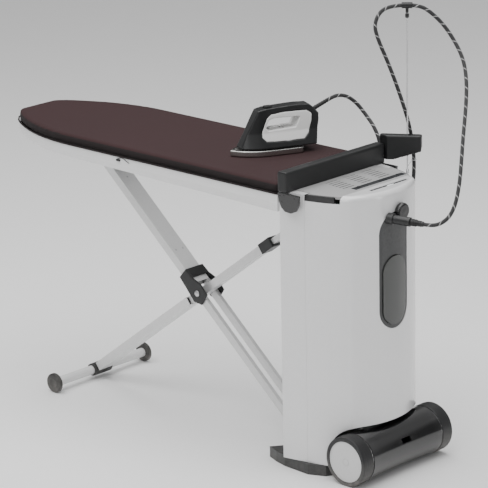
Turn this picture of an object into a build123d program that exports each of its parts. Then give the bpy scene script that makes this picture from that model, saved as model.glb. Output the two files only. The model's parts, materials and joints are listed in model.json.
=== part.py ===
from build123d import *
import math
import os

# Steam ironing system: an active ironing board on scissor legs, docked to a steam station on wheels.
# Millimetres. +Z is up, the board's nose points to -X, and the station stands at its heel, on +X.
# The origin is on the floor under the station's base plate, on the board's centreline.

# ---------------------------------------------------------------- driving dimensions
GAP = 0.5            # clearance between pieces that only meet
RUN = 0.05           # radial running clearance of a shaft in its bore

board_width = 404.0  # across the cover
board_nose_x = -1209.0
board_heel_x = -16.0
board_top_z = 830.0  # ironing surface
cover_height = 33.0  # padded cover's visible side
taper_start_x = board_nose_x + 359  # where the parallel sides start to close towards the nose
taper_radius = 580.0
nose_corner_radius = 32.0
tray_wall = 3.0
tray_heel_depth = 52.0   # white tray, below the cover
tray_nose_depth = 29.0
tray_step = 24.0         # upright rim above the sloping lower half
tray_slope_deg = 24.0
height_travel = 190.0    # how far the board rises

column_x0 = -12.0        # back of the station's column
column_x1 = 66.0
column_half = 198.0      # half width at the back
column_front_half = 183.0
station_top_z = 810.0
base_height = 32.0
shell_wall = 3.0
side_mid_x = 128.0       # the cabinet's side bulges through this point
side_mid_half = 166.0
corner_x = 192.0         # where side and front meet
corner_half = 136.0
front_x = 233.0
corner_radius = 22.0
top_round = 16.0         # rounding of the white front cover's upper edge
grey_front_x = 166.0     # front edge of the slotted panel
band_height = 17.0

panel_half = 58.0        # oval front panel
panel_z0 = 419.0
panel_z1 = 752.0
panel_depth = 12.0
tank_half = 47.0
tank_z0 = 430.0
tank_z1 = 628.0
tank_depth = 118.0
tank_wall = 2.5
tank_travel = 110.0

axle_x = 212.0
axle_z = 71.0
axle_radius = 6.0
wheel_radius = 71.0
wheel_width = 42.0
wheel_face_y = 190.0     # outer face of each wheel
disc_radius = 59.0
barrel_radius = 66.0
arch_radius = 80.0       # hollow of the cabinet over the barrel

leg_base = (-103.0, 30.0)     # leg A's lower pivot, (x, z)
leg_a_top_z = 728.0
leg_a_slope = 0.868         # rise over run
foot_axis = (-965.0, 30.0)
heel_pivot = (-34.0, 717.0)
leg_width = 58.0
leg_depth = 26.0
channel_width = 34.0
leg_gap = 40.0           # between leg A's twin tubes, where leg B passes
twin_width = 12.0
twin_depth = 24.0
pin_radius = 6.0
channel_depth = 24.0
tube_width = 26.0
tube_depth = 17.0
leg_wall = 2.0
foot_bar_radius = 14.0
foot_half = 196.0
foot_disc_radius = 30.0
foot_disc_width = 13.0

handle_x0 = -12.0
handle_x1 = 22.0
handle_z1 = 868.0
handle_near_y = -206.0
holder_start = (4.0, 203.0)   # hose holder's arm in plan, from the bar's far end
holder_end = (104.0, 268.0)
holder_z0 = 828.0
holder_z1 = 892.0
mast_xy = (70.0, 246.0)
mast_z0 = 776.0
mast_z1 = 1254.0
mast_radius = 2.0
hose_radius = 5.5
plug_length = 96.0

iron_tail = (-225.0, 112.0)   # middle of the soleplate's back edge, in plan
iron_turn_deg = 244.8         # the way its nose points
sole_length = 208.0
sole_half = 52.0
sole_height = 17.0
iron_lift_z = board_top_z + 0.6
iron_height = 148.0

os.makedirs("parts", exist_ok=True)


def save(name, shape):
    shape.label = name
    export_step(shape, f"parts/{name}.step")


def block(x0, x1, y0, y1, z0, z1):
    return Pos((x0 + x1) / 2, (y0 + y1) / 2, (z0 + z1) / 2) * Box(x1 - x0, y1 - y0, z1 - z0)


def rod(start, end, radius, bore=0.0):
    """A round bar or tube between two points."""
    a, b = Vector(*start), Vector(*end)
    plane = Plane(origin=a, z_dir=b - a)
    bar = extrude(plane * Circle(radius), (b - a).length)
    if bore:
        bar -= extrude(plane * Circle(bore), (b - a).length)
    return bar


def prism(points, z0, z1):
    """A plan outline of (x, y) points, raised from z0 to z1."""
    return Pos(0, 0, z0) * extrude(make_face(Polyline(*points, close=True)), z1 - z0)


def side_prism(points, y0, y1):
    """A side outline of (x, z) points, carried from y0 to y1."""
    face = make_face(Polyline(*[(x, y0, z) for x, z in points], close=True))
    return extrude(face, y1 - y0, dir=(0, 1, 0))


def beam(start, end, width, depth, wall=0.0, y=0.0):
    """A rectangular bar or tube in the side plane; width runs along Y."""
    a, b = Vector(start[0], y, start[1]), Vector(end[0], y, end[1])
    plane = Plane(origin=a, x_dir=(0, 1, 0), z_dir=b - a)
    bar = extrude(plane * Rectangle(width, depth), (b - a).length)
    if wall:
        bar -= extrude(plane * Rectangle(width - 2 * wall, depth - 2 * wall), (b - a).length)
    return bar


def along(start, end, distance):
    """The point at a distance from start on the way to end, in the side plane."""
    run = math.dist(start, end)
    return tuple(s + (e - s) * distance / run for s, e in zip(start, end))


def largest(shape):
    return max(shape.solids(), key=lambda solid: solid.volume)


# ---------------------------------------------------------------- outlines
def board_outline(inset):
    """Plan of the board, drawn in by inset: parallel sides that close on an arc to a blunt nose."""
    half = board_width / 2 - inset
    heel = board_heel_x - inset
    nose = board_nose_x + inset
    radius = taper_radius - inset
    reach = taper_start_x - (board_nose_x + nose_corner_radius)
    drop = radius - math.sqrt(radius**2 - reach**2)
    end_x = taper_start_x - reach
    edge = Line((heel, half), (taper_start_x, half))
    arc = RadiusArc(edge @ 1, (end_x, half - drop), -radius)
    corner = Line(arc @ 1, (nose, half - drop - nose_corner_radius))
    tip = Line(corner @ 1, (nose, 0))
    far = Curve() + [edge, arc, corner, tip]
    near = mirror(far, Plane.XZ)
    close = Line((heel, -half), (heel, half))
    return make_face(far.edges() + near.edges() + [close])


def board_slab(inset, z0, z1):
    return Pos(0, 0, z0) * extrude(board_outline(inset), z1 - z0)


def cabinet_outline(inset):
    """Plan of the cabinet: two bulging sides and a front arc."""
    x0 = column_x1 + GAP + inset
    side = ThreePointArc(
        (x0, column_front_half - inset), (side_mid_x, side_mid_half - inset), (corner_x, corner_half - inset)
    )
    front = ThreePointArc(
        (corner_x, corner_half - inset), (front_x - inset, 0), (corner_x, inset - corner_half)
    )
    other = mirror(side, Plane.XZ)
    back = Line((x0, inset - column_front_half), (x0, column_front_half - inset))
    face = make_face([side, front, *other.edges(), back])
    corners = [v for v in face.vertices() if abs(v.X - corner_x) < 1]
    return fillet(corners, corner_radius - inset)


def cabinet_slab(inset, z0, z1):
    return Pos(0, 0, z0) * extrude(cabinet_outline(inset), z1 - z0)


def column_slab(inset, z0, z1):
    slope = (column_half - column_front_half) / (column_x1 - column_x0)
    x0, x1 = column_x0 + inset, column_x1 - inset
    near = column_half - slope * inset - inset
    far = column_front_half + slope * inset - inset
    return prism([(x0, -near), (x1, -far), (x1, far), (x0, near)], z0, z1)


def stadium(half, z0, z1, x0, x1):
    """An upright oval seen from the front, from x0 to x1."""
    plane = Plane(origin=(x0, 0, (z0 + z1) / 2), x_dir=(0, 1, 0), z_dir=(1, 0, 0))
    return extrude(plane * SlotOverall(z1 - z0, 2 * half, rotation=90), x1 - x0)


# ---------------------------------------------------------------- station
tray_bottom_heel = board_top_z - cover_height - tray_heel_depth
tray_top = board_top_z - cover_height

base = prism(
    [
        (-101, -160), (-60, -176), (-19, -186), (74, -192), (122, -170), (136, -140),
        (136, 140), (122, 170), (74, 192), (-19, 186), (-60, 176), (-101, 160), (-70, 120),
        (-124, 50), (-124, -50), (-70, -120),
    ],
    0,
    base_height - GAP,
)
clevis_slot_half = leg_gap / 2 + twin_width + 1.5
clevis_half = clevis_slot_half + 10
base -= block(leg_base[0] - 22, leg_base[0] + 27, -clevis_slot_half, clevis_slot_half, 12, base_height + 1)
for side in (-1, 1):
    base += rod((leg_base[0], side * clevis_slot_half, leg_base[1]),
                (leg_base[0], side * clevis_half, leg_base[1]), 17)
base -= rod((leg_base[0], -60, leg_base[1]), (leg_base[0], 60, leg_base[1]), pin_radius + RUN)
save("base_plate", largest(base))
save("base_pivot_pin", rod((leg_base[0], -clevis_half - 3, leg_base[1]),
                           (leg_base[0], clevis_half + 3, leg_base[1]), pin_radius))

guide_half = 22.0
guide_z0 = tray_bottom_heel - height_travel - 15
column = column_slab(0, base_height, station_top_z)
column -= column_slab(shell_wall, base_height - 1, station_top_z - shell_wall)
column -= block(column_x0 - 1, column_x0 + shell_wall + 1, -guide_half, guide_half,
                guide_z0, station_top_z - 14)
save("column_shell", column)

rail_x = column_x0 + shell_wall + 0.6
rail = block(rail_x, rail_x + 26, -guide_half - 8, guide_half + 8, guide_z0 - 20, station_top_z - 8)
rail -= block(rail_x - 1, rail_x + 22, -guide_half, guide_half, guide_z0 - 10, station_top_z - 14)
save("height_guide", rail)

cabinet = cabinet_slab(0, base_height, station_top_z + 4)
lip = cabinet.edges().filter_by(GeomType.CIRCLE).group_by(Axis.Z)[-1]
front_lip = [e for e in lip if (e @ 0.5).X > corner_x - 12]
cabinet = fillet(front_lip, top_round)
cabinet -= block(column_x1 - 1, grey_front_x, -230, 230, station_top_z - band_height, station_top_z + 9)
inner = cabinet_slab(shell_wall, base_height - 1, station_top_z + 1)
inner_lip = inner.edges().filter_by(GeomType.CIRCLE).group_by(Axis.Z)[-1]
cabinet -= fillet([e for e in inner_lip if (e @ 0.5).X > corner_x - 12 - shell_wall], top_round - shell_wall)
arch = rod((axle_x, -230, axle_z), (axle_x, 230, axle_z), arch_radius)
arch += block(axle_x, front_x + 20, -230, 230, base_height - 2, axle_z + arch_radius)
arch += block(136.5, axle_x, -230, 230, base_height - 2, axle_z)
cabinet -= arch
cabinet -= stadium(panel_half + GAP, panel_z0 - GAP, panel_z1 + GAP, front_x - 40, front_x + 10)
slit_x = 188.0
slit_y0, slit_y1 = -50.0, 104.0
slit = block(slit_x - 5, slit_x + 5, slit_y0, slit_y1, station_top_z - 8, station_top_z + 10)
cabinet -= slit
save("front_cover", largest(cabinet))

slit_insert = block(slit_x - 4.7, slit_x + 4.7, slit_y0 + 0.3, slit_y1 - 0.3, station_top_z - 3, station_top_z + 3)
light_y = 34.0
slit_insert -= block(slit_x - 2.4, slit_x + 2.4, light_y - 16, light_y + 16, station_top_z, station_top_z + 4)
save("indicator_strip", slit_insert)

band_z0 = station_top_z - band_height
band = cabinet_slab(0.6, band_z0 + GAP, station_top_z)
band -= cabinet_slab(6, band_z0 - 1, station_top_z + 1)
band -= block(150, 260, -230, 230, band_z0 - 2, station_top_z + 2)
band -= block(column_x1 - 2, column_x1 + 9, -170, 170, band_z0 - 2, station_top_z + 2)
band = Compound(children=band.solids())
save("top_band", band)

grey = cabinet_slab(6.6, station_top_z - 5, station_top_z + 2)
grey &= block(column_x1, grey_front_x - GAP, -230, 230, station_top_z - 6, station_top_z + 3)
back = block(handle_x1 + GAP, column_x1 + 8, -165, 165, station_top_z + 0.2, station_top_z + 2)
grey += back
display_x0, display_x1 = 128.0, 148.0
display_y0, display_y1 = -62.0, 150.0
slot_length, slot_width, slot_pitch = 46.0, 4.6, 14.5
for column_index in range(3):
    for row in range(6):
        x = 40 + row * slot_pitch
        y = -66 + column_index * 74 - row * 2.2
        grey -= block(x - slot_width / 2, x + slot_width / 2, y, y + slot_length,
                      station_top_z - 8, station_top_z + 4)
grey -= block(display_x0, display_x1, display_y0, display_y1, station_top_z - 8, station_top_z + 4)
key_radius = 6.0
save("slotted_panel", largest(grey))

display = block(display_x0 + 0.3, display_x1 - 0.3, display_y0 + 0.3, display_y1 - 0.3,
                station_top_z - 4, station_top_z + 2.4)
key_x = (display_x0 + display_x1) / 2
keys = {"power_key": display_y0 + 24, "steam_key": display_y1 - 24}
for name, y in keys.items():
    display -= Pos(key_x, y, station_top_z) * Cylinder(key_radius + 0.3, 30)
    save(name, Pos(key_x, y, station_top_z + 1.2) * Cylinder(key_radius, 7.0))
save("display_strip", display)

panel = stadium(panel_half, panel_z0, panel_z1, front_x - panel_depth, front_x - 1)
panel &= cabinet_slab(1.2, panel_z0 - 5, panel_z1 + 5)
bay = stadium(tank_half + 1.2, tank_z0 - 1.2, tank_z1 + 1.2, front_x - 30, front_x + 5)
panel -= bay
save("oval_panel", largest(panel))

tank = stadium(tank_half, tank_z0, tank_z1, front_x - tank_depth, front_x + 6)
tank &= cabinet_slab(-3, tank_z0 - 5, tank_z1 + 5)
tank -= stadium(tank_half - tank_wall, tank_z0 + tank_wall, tank_z1 - tank_wall,
                front_x - tank_depth + tank_wall, front_x - 4)
cap_z = tank_z1 - 30
tank -= rod((front_x - tank_depth - 1, 0, cap_z), (front_x - tank_depth + 5, 0, cap_z), 12)
save("water_tank", tank)
tank_plug = rod((front_x - tank_depth - 5, 0, cap_z), (front_x - tank_depth, 0, cap_z), 14)
tank_plug += rod((front_x - tank_depth, 0, cap_z), (front_x - tank_depth + 6, 0, cap_z), 11.9)
save("tank_cap", tank_plug)

socket_y, socket_z = -22.0, 738.0
plug_way = Vector(90, 27, -5).normalized()
plug_start = Vector(front_x + 5, socket_y, socket_z)


def at_plug(distance):
    return tuple(plug_start + plug_way * distance)


socket = rod(at_plug(-14), at_plug(9), 16, 9)
socket -= block(front_x - 60, front_x + 0.1, -80, 80, 690, 790)
save("hose_socket", largest(socket))
knob_y, knob_z = 22.0, 750.0
knob = rod((front_x + GAP, knob_y, knob_z), (front_x + 17, knob_y, knob_z), 24)
knob = chamfer(knob.edges().group_by(Axis.X)[-1], 4)
save("hose_release_knob", knob)
plug = rod(at_plug(9.3), at_plug(58), 13) + rod(at_plug(0.5), at_plug(9.4), 8.8)
plug += rod(at_plug(57.9), at_plug(78), 9) + rod(at_plug(77.9), at_plug(plug_length), 7.5)
save("hose_plug", largest(plug))

# ---------------------------------------------------------------- inside the station
boiler_radius = 62.0
boiler_x = 134.0
boiler = fillet(rod((boiler_x, 0, 235), (boiler_x, 0, 400), boiler_radius).edges(), 18)
boiler -= rod((boiler_x, 0, 250), (boiler_x, 0, 385), boiler_radius - 3)
boiler += rod((boiler_x - 22, 0, base_height), (boiler_x - 22, 0, 240), 18)
save("steam_boiler", boiler)
pump = block(78, 128, 96, 142, 250, 330) + rod((103, 119, 329), (103, 119, 352), 9)
save("water_pump", pump + block(97, 109, 113, 125, base_height, 251))
valve = block(76, 108, -142, -106, 300, 352) + rod((92, -124, 351), (92, -124, 376), 10)
save("steam_valve", valve + block(86, 98, -130, -118, base_height, 301))
circuit_back = column_x1 + GAP + shell_wall
circuit_x = circuit_back + 6
circuit = block(circuit_x, circuit_x + 1.6, -118, 118, 660, 760)
for y in (-84, -28, 28, 84):
    circuit += block(circuit_x + 1.5, circuit_x + 18, y - 14, y + 14, 684, 726)
    circuit += block(circuit_back, circuit_x + 0.1, y - 4, y + 4, 740, 748)
save("control_circuit", circuit)
pipe_path = FilletPolyline((92, -124, 376.3), (92, -124, 520), (140, -80, 640), (206, -30, 700), radius=28)
save("steam_pipe", sweep(Plane(origin=pipe_path @ 0, z_dir=pipe_path % 0) * Circle(4), path=pipe_path))

# ---------------------------------------------------------------- axle and wheels
wheel_inner_y = wheel_face_y - wheel_width
barrel_end = wheel_inner_y - 3
barrel_flare = 4.0


def axle_rod(y0, y1, radius, bore=0.0):
    return rod((axle_x, y0, axle_z), (axle_x, y1, axle_z), radius, bore)


waist = ThreePointArc(
    (axle_x, barrel_end, axle_z + barrel_radius + barrel_flare),
    (axle_x, 0, axle_z + barrel_radius),
    (axle_x, -barrel_end, axle_z + barrel_radius + barrel_flare),
)
profile = make_face(
    [
        waist,
        Line(waist @ 1, (axle_x, -barrel_end, axle_z)),
        Line((axle_x, -barrel_end, axle_z), (axle_x, barrel_end, axle_z)),
        Line((axle_x, barrel_end, axle_z), waist @ 0),
    ]
)
barrel = revolve(profile, Axis((axle_x, 0, axle_z), (0, 1, 0)), 360)
barrel -= axle_rod(5 - barrel_end, barrel_end - 5, barrel_radius - 5)
barrel -= axle_rod(-200, 200, axle_radius + RUN)
marker_z = axle_z + 26
barrel -= block(axle_x + barrel_radius - 14, axle_x + 90, -18, 18, marker_z - 7, marker_z + 7)
save("axle_housing", largest(barrel))
save("axle", axle_rod(9 - wheel_face_y, wheel_face_y - 9, axle_radius))
for side, word in ((-1, "left"), (1, "right")):
    inner, outer = side * wheel_inner_y, side * wheel_face_y
    tyre = axle_rod(inner, outer, wheel_radius)
    rims = tyre.edges().filter_by(GeomType.CIRCLE)
    tyre = fillet(rims, 4)
    tyre -= axle_rod(outer - side * 8, outer + side, disc_radius)
    tyre -= axle_rod(inner - side, outer, 30)
    save(f"tyre_{word}", tyre)
    disc = axle_rod(outer - side * 7.7, outer - side * 2, disc_radius - 0.3)
    disc += axle_rod(inner + side * 2, outer - side * 7.7, 29.7)
    disc -= axle_rod(inner, outer - side * 8.5, axle_radius + RUN)
    save(f"wheel_disc_{word}", disc)

# ---------------------------------------------------------------- handle, hose holder and mast
bar_z0 = station_top_z + GAP
handle = block(handle_x0, handle_x1, handle_near_y, holder_start[1], bar_z0, handle_z1)
handle = fillet(handle.edges().filter_by(Axis.Y).group_by(Axis.Z)[-1], 7)
save("carry_handle", handle)
cap_outline = [(-10, 809), (-7, 786), (2, 768), (16, 757), (38, 756), (56, 764), (66, 782), (68, 809)]
ear_caps = [side_prism(cap_outline, y, y + 9) for y in (-column_half - 10, column_half + 1)]
save("ear_caps", Compound(children=ear_caps))

way = Vector(holder_end[0] - holder_start[0], holder_end[1] - holder_start[1]).normalized()
across = Vector(-way.Y, way.X)
holder_half = 14.0


def beside(point, offset):
    moved = Vector(*point) + across * offset
    return (moved.X, moved.Y)


holder = prism(
    [
        beside(holder_start, -holder_half),
        beside(holder_end, -holder_half),
        beside(holder_end, holder_half),
        beside(holder_start, holder_half),
    ],
    bar_z0,
    holder_z1,
)
under = [(100, 700), (400, 700), (400, 872), (holder_end[1], 852), (holder_start[1] + 12, 822), (100, 812)]
cutter = extrude(make_face(Polyline(*[(-100, y, z) for y, z in under], close=True)), 400, dir=(1, 0, 0))
holder -= cutter
holder = fillet(holder.edges().filter_by(Axis.Z, reverse=True).group_by(Axis.Z)[-1], 4)
holder -= block(-60, 80, 120, holder_start[1] + GAP, 780, 930)
holder -= rod((*mast_xy, 780), (*mast_xy, 930), mast_radius + 0.3)
save("hose_holder", largest(holder))
save("mast", rod((*mast_xy, mast_z0), (*mast_xy, mast_z1), mast_radius))
clip_way = Vector(52, 44).normalized()
clip_z = mast_z1 + 9
clip_start = Vector(*mast_xy, clip_z) - clip_way * 15
clip_end = Vector(*mast_xy, clip_z) + clip_way * 15
clip = rod(tuple(clip_start), tuple(clip_end), 8.8, hose_radius + 0.3)
clip += rod((*mast_xy, mast_z1 - 12), (*mast_xy, mast_z1 + 2), 4.4, mast_radius)
save("mast_clip", largest(clip))

# ---------------------------------------------------------------- scissor legs
leg_a_top = (leg_base[0] - (leg_a_top_z - leg_base[1]) / leg_a_slope, leg_a_top_z)
leg_b_slope = (heel_pivot[1] - foot_axis[1]) / (heel_pivot[0] - foot_axis[0])
offset_z = leg_base[1] + leg_a_slope * leg_base[0] - foot_axis[1] + leg_b_slope * foot_axis[0]
cross_x = offset_z / (leg_a_slope + leg_b_slope)
cross = (cross_x, foot_axis[1] + leg_b_slope * (cross_x - foot_axis[0]))
print("crossing pivot", cross, "leg A top", leg_a_top)


def pivot_bore(pivot, radius):
    return rod((pivot[0], -80, pivot[1]), (pivot[0], 80, pivot[1]), radius)


def pivot_pin(pivot, half, radius):
    return rod((pivot[0], -half, pivot[1]), (pivot[0], half, pivot[1]), radius)


def up_a(distance):
    return along(cross, leg_a_top, distance)


def down_a(distance):
    return along(cross, leg_base, distance)


def up_b(distance):
    return along(cross, heel_pivot, distance)


def down_b(distance):
    return along(cross, foot_axis, distance)


reach_up_a = math.dist(cross, leg_a_top)
reach_up_b = math.dist(cross, heel_pivot)
leg_a = beam(up_a(30), leg_a_top, leg_width, leg_depth, leg_wall)
leg_a += pivot_pin(leg_a_top, leg_width / 2, leg_depth / 2)
leg_a -= pivot_bore(leg_a_top, pin_radius + RUN)
save("leg_a_upper", largest(leg_a))
twin_y = leg_gap / 2 + twin_width / 2
twins = []
for side in (-1, 1):
    twin = beam(up_a(29.5), leg_base, twin_width, twin_depth, leg_wall, y=side * twin_y)
    inner_y, outer_y = side * leg_gap / 2, side * (leg_gap / 2 + twin_width)
    twin += rod((leg_base[0], inner_y, leg_base[1]), (leg_base[0], outer_y, leg_base[1]), twin_depth / 2 - 0.8)
    twin += rod((cross[0], inner_y, cross[1]), (cross[0], outer_y, cross[1]), pin_radius + 2.5)
    twin -= pivot_bore(leg_base, pin_radius + RUN)
    twin -= pivot_bore(cross, pin_radius + RUN)
    twins.append(largest(twin))
save("leg_a_lower", Compound(children=twins))
stub_y = channel_width / 2 + 1.5
stubs = pivot_pin(cross, leg_gap / 2 + twin_width + 0.6, pin_radius)
stubs -= block(cross[0] - 20, cross[0] + 20, -stub_y, stub_y, cross[1] - 20, cross[1] + 20)
save("crossing_pin", Compound(children=stubs.solids()))
cover_ring0, cover_ring1 = 46.0, 78.0
cheek_y0 = leg_gap / 2 + twin_width + 1
cheek_y1 = cheek_y0 + 4
cheek_outline = [(78, -20), (78, 20), (46, 22), (10, 35), (-30, 31), (-36, -12), (-8, -31), (40, -24)]
cover = beam(up_a(cover_ring1), up_a(cover_ring0), 2 * cheek_y1, leg_depth + 14)
cover -= beam(up_a(cover_ring1 + 1), up_a(cover_ring0 - 1), leg_width + 2 * GAP, leg_depth + 2 * GAP)
lean = math.atan(leg_a_slope)
cheek_points = [
    (cross[0] - a * math.cos(lean) + n * math.sin(lean), cross[1] + a * math.sin(lean) + n * math.cos(lean))
    for a, n in cheek_outline
]
for y in (-cheek_y1, cheek_y0):
    cover += side_prism(cheek_points, y, y + cheek_y1 - cheek_y0)
save("pivot_cover", largest(cover))
roller_half = leg_width / 2 + 8
roller = pivot_pin(leg_a_top, roller_half, pin_radius)
for side in (-1, 1):
    y0, y1 = sorted((side * (leg_width / 2 + 1), side * roller_half))
    roller += rod((leg_a_top[0], y0, leg_a_top[1]), (leg_a_top[0], y1, leg_a_top[1]), 11)
save("leg_a_roller", roller)

lower_b = beam(down_b(62), along(foot_axis, cross, foot_bar_radius + 6), leg_width - 8, leg_depth, leg_wall)
save("leg_b_lower", lower_b)
channel = beam(down_b(61.5), up_b(318), channel_width, channel_depth, leg_wall)
save("leg_b_channel", channel)
collar = beam(up_b(300), up_b(352), channel_width + 7, channel_depth + 7)
collar -= beam(up_b(290), up_b(318.4), channel_width + 0.4, channel_depth + 0.4)
collar -= beam(up_b(310), up_b(360), tube_width + 0.8, tube_depth + 0.8)
save("tube_collar", largest(collar))
heel_pin_radius = 5.0
heel_boss = 11.0
tube = beam(up_b(200), up_b(reach_up_b - 15), tube_width, tube_depth, leg_wall)
tube += beam(up_b(reach_up_b - 16), heel_pivot, tube_width, tube_depth)
tube += pivot_pin(heel_pivot, tube_width / 2, heel_boss)
tube -= pivot_bore(heel_pivot, heel_pin_radius + RUN)
save("leg_b_tube", largest(tube))
foot_x, foot_z = foot_axis
bar_half = foot_half - foot_disc_width - 0.2
save("foot_bar", pivot_pin(foot_axis, bar_half, foot_bar_radius))
feet = []
for side in (-1, 1):
    foot = rod((foot_x, side * (foot_half - foot_disc_width), foot_z), (foot_x, side * foot_half, foot_z),
               foot_disc_radius - 0.01)
    feet.append(fillet(foot.edges().filter_by(GeomType.CIRCLE), 3))
save("feet", Compound(children=feet))
joint_half = leg_width / 2 + 7
foot_joint = pivot_pin(foot_axis, joint_half, foot_bar_radius + 5.5)
foot_joint -= pivot_pin(foot_axis, joint_half + 1, foot_bar_radius + RUN)
save("foot_joint", foot_joint)

# ---------------------------------------------------------------- board
def under_floor(raise_by):
    """The space below the tray's sloping floor."""
    heel_z = tray_top - tray_heel_depth + raise_by
    nose_z = tray_top - tray_nose_depth + raise_by
    outline = [(60, 600), (-1300, 600), (-1300, nose_z), (board_nose_x, nose_z), (board_heel_x, heel_z), (60, heel_z)]
    return side_prism(outline, -260, 260)


def tray_body(inset):
    rim_z = tray_top - tray_step
    low_z = rim_z - tray_heel_depth
    narrowing = (rim_z - low_z) * math.tan(math.radians(tray_slope_deg))
    lower = loft([Pos(0, 0, low_z) * board_outline(inset + narrowing), Pos(0, 0, rim_z) * board_outline(inset)])
    return board_slab(inset, rim_z, tray_top) + lower


tray = tray_body(1.5) - under_floor(0)
tray -= (tray_body(1.5 + tray_wall) + board_slab(1.5 + tray_wall, tray_top - 1, tray_top + 1)) - under_floor(tray_wall)
save("board_tray", largest(tray))
plate = board_slab(8, tray_top - 3, tray_top - 1.5)
for index in range(9):
    for row in (-2, -1, 0, 1, 2):
        plate -= Pos(-150 - index * 105, row * 56, tray_top) * Cylinder(14, 20)
save("perforated_plate", plate)
cover = board_slab(0, tray_top + GAP, board_top_z)
save("padded_cover", fillet(cover.edges().group_by(Axis.Z)[-1], 7))

rail_x0, rail_x1 = leg_a_top[0] - 34, leg_a_top[0] + 262
rail_ceiling = leg_a_top_z + 24
rail_half = roller_half + 3
tray_depth_there = tray_top - tray_nose_depth - 26
leg_rail = block(rail_x0, rail_x1, -rail_half - 2, rail_half + 2, leg_a_top_z - 4, rail_ceiling + 40)
leg_rail -= block(rail_x0 - 1, rail_x1 + 1, -rail_half, rail_half, leg_a_top_z - 6, rail_ceiling)
leg_rail &= under_floor(0)
save("leg_rail", largest(leg_rail))
bracket_wall = 3.0
bracket_half = tube_width / 2 + 1.5
ears = block(heel_pivot[0] - 13, heel_pivot[0] + 13, -bracket_half - bracket_wall, bracket_half + bracket_wall,
             heel_pivot[1] - 12, tray_bottom_heel + 10)
ears -= block(heel_pivot[0] - 14, heel_pivot[0] + 14, -bracket_half, bracket_half, heel_pivot[1] - 13,
              tray_bottom_heel - 4)
ears += pivot_pin(heel_pivot, bracket_half + bracket_wall, heel_pin_radius)
plate_x0, plate_x1 = column_x0 - 8, column_x0 - 2.5
plate_half = 12.0
tongue_z0 = guide_z0 + 12
bracket = ears + block(heel_pivot[0] + 12, plate_x1, -plate_half, plate_half, tray_bottom_heel - 4,
                       tray_bottom_heel + 10)
bracket += block(plate_x0, plate_x1, -plate_half, plate_half, tongue_z0, tray_bottom_heel + 10)
bracket += block(plate_x0, rail_x + 19, 4 - plate_half, plate_half - 4, tongue_z0, tongue_z0 + 20)
bracket += block(rail_x + 4, rail_x + 19, 3 - guide_half, guide_half - 3, tongue_z0, tongue_z0 + 20)
bracket &= under_floor(0)
save("heel_bracket", largest(bracket))
fan_x = -420.0
fan_z = tray_top - 5
housing = rod((fan_x, 0, tray_top - 34), (fan_x, 0, fan_z), 92, 84)
housing += rod((fan_x, 0, fan_z - 28), (fan_x, 0, fan_z - 25), 30)
housing += rod((fan_x, 0, fan_z - 25.1), (fan_x, 0, fan_z - 9), 4)
for index in range(3):
    housing += Pos(fan_x, 0, fan_z - 26.5) * Rot(0, 0, index * 120) * Pos(57, 0, 0) * Box(60, 10, 3)
save("fan_housing", largest(housing))
impeller = rod((fan_x, 0, fan_z - 24), (fan_x, 0, fan_z - 21), 78)
for index in range(12):
    turn = Rot(0, 0, index * 30)
    impeller += Pos(fan_x, 0, fan_z - 12.5) * turn * Pos(56, 0, 0) * Box(34, 2, 18)
impeller += rod((fan_x, 0, fan_z - 21.1), (fan_x, 0, fan_z - 4), 26)
impeller -= rod((fan_x, 0, fan_z - 30), (fan_x, 0, fan_z - 8), 4 + RUN)
save("fan_impeller", impeller)

# ---------------------------------------------------------------- iron
relief_start = (-41.0, 108.0)   # cord relief in the iron's own side view, (along, up)
relief_end = (-91.0, 131.0)
dial_u = 68.0
dial_radius = 22.0
button_u0, button_u1 = 82.0, 103.0
button_half = 9.0
shell_outline = [
    (182, 20), (158, 68), (127, 126), (105, 130), (53, 133), (7, 134), (-28, 132),
    (-43, 119), (-55, 104), (-54, 83), (-40, 20),
]
loop_outline = [
    (121, 50), (119, 67), (103, 103), (90, 113), (53, 117), (-17, 116),
    (-33, 106), (-32, 85), (-19, 51), (-4, 38), (43, 36), (110, 39),
]
finger_outline = [(109, 78), (97, 98), (81, 102), (2, 100), (17, 72), (54, 70), (100, 68)]
place_iron = Pos(iron_tail[0], iron_tail[1], iron_lift_z) * Rot(0, 0, iron_turn_deg)


def sole_outline(inset, tail=0.0):
    """Plan of the soleplate: straight sides that close on two arcs at the nose."""
    half = sole_half - inset
    start = 0.47 * sole_length
    reach = sole_length - inset - start
    radius = (reach**2 + half**2) / (2 * half)
    side = Line((inset - tail, half), (start, half))
    arc = RadiusArc(side @ 1, (sole_length - inset, 0), radius)
    far = Curve() + [side, arc]
    near = mirror(far, Plane.XZ)
    back = Line((inset - tail, half), (inset - tail, -half))
    return make_face(far.edges() + near.edges() + [back])


def iron_prism(outline, half):
    return side_prism(outline, -half, half)


sole = extrude(sole_outline(0), sole_height)
sole = fillet(sole.edges().filter_by(Axis.Z).sort_by(Axis.X)[:2], 14)
save("iron_soleplate", place_iron * sole)
waist_z, crown_z = 62.0, iron_height
waist_inset, crown_inset = 22.0, 33.0
body = loft([Pos(0, 0, sole_height + GAP) * sole_outline(3, 62), Pos(0, 0, waist_z) * sole_outline(waist_inset, 80)])
body += loft([Pos(0, 0, waist_z) * sole_outline(waist_inset, 80), Pos(0, 0, crown_z) * sole_outline(crown_inset, 90)])
relief = rod((relief_start[0], 0, relief_start[1]), (relief_end[0], 0, relief_end[1]), 6.6)
shell = body & iron_prism(shell_outline, 60)
shell -= iron_prism(loop_outline, 60)
shell -= block(button_u0 - GAP, button_u1 + GAP, -button_half - GAP, button_half + GAP, 121, 150)
shell -= relief
save("iron_shell", place_iron * largest(shell))
loop = body & iron_prism(loop_outline, 60)
loop -= iron_prism(finger_outline, 60)
dial_z = 62.0
loop -= Pos(dial_u, 0, dial_z + 5) * Cylinder(dial_radius + 0.4, 26)
loop -= relief
save("iron_inner_loop", place_iron * largest(loop))
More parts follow.
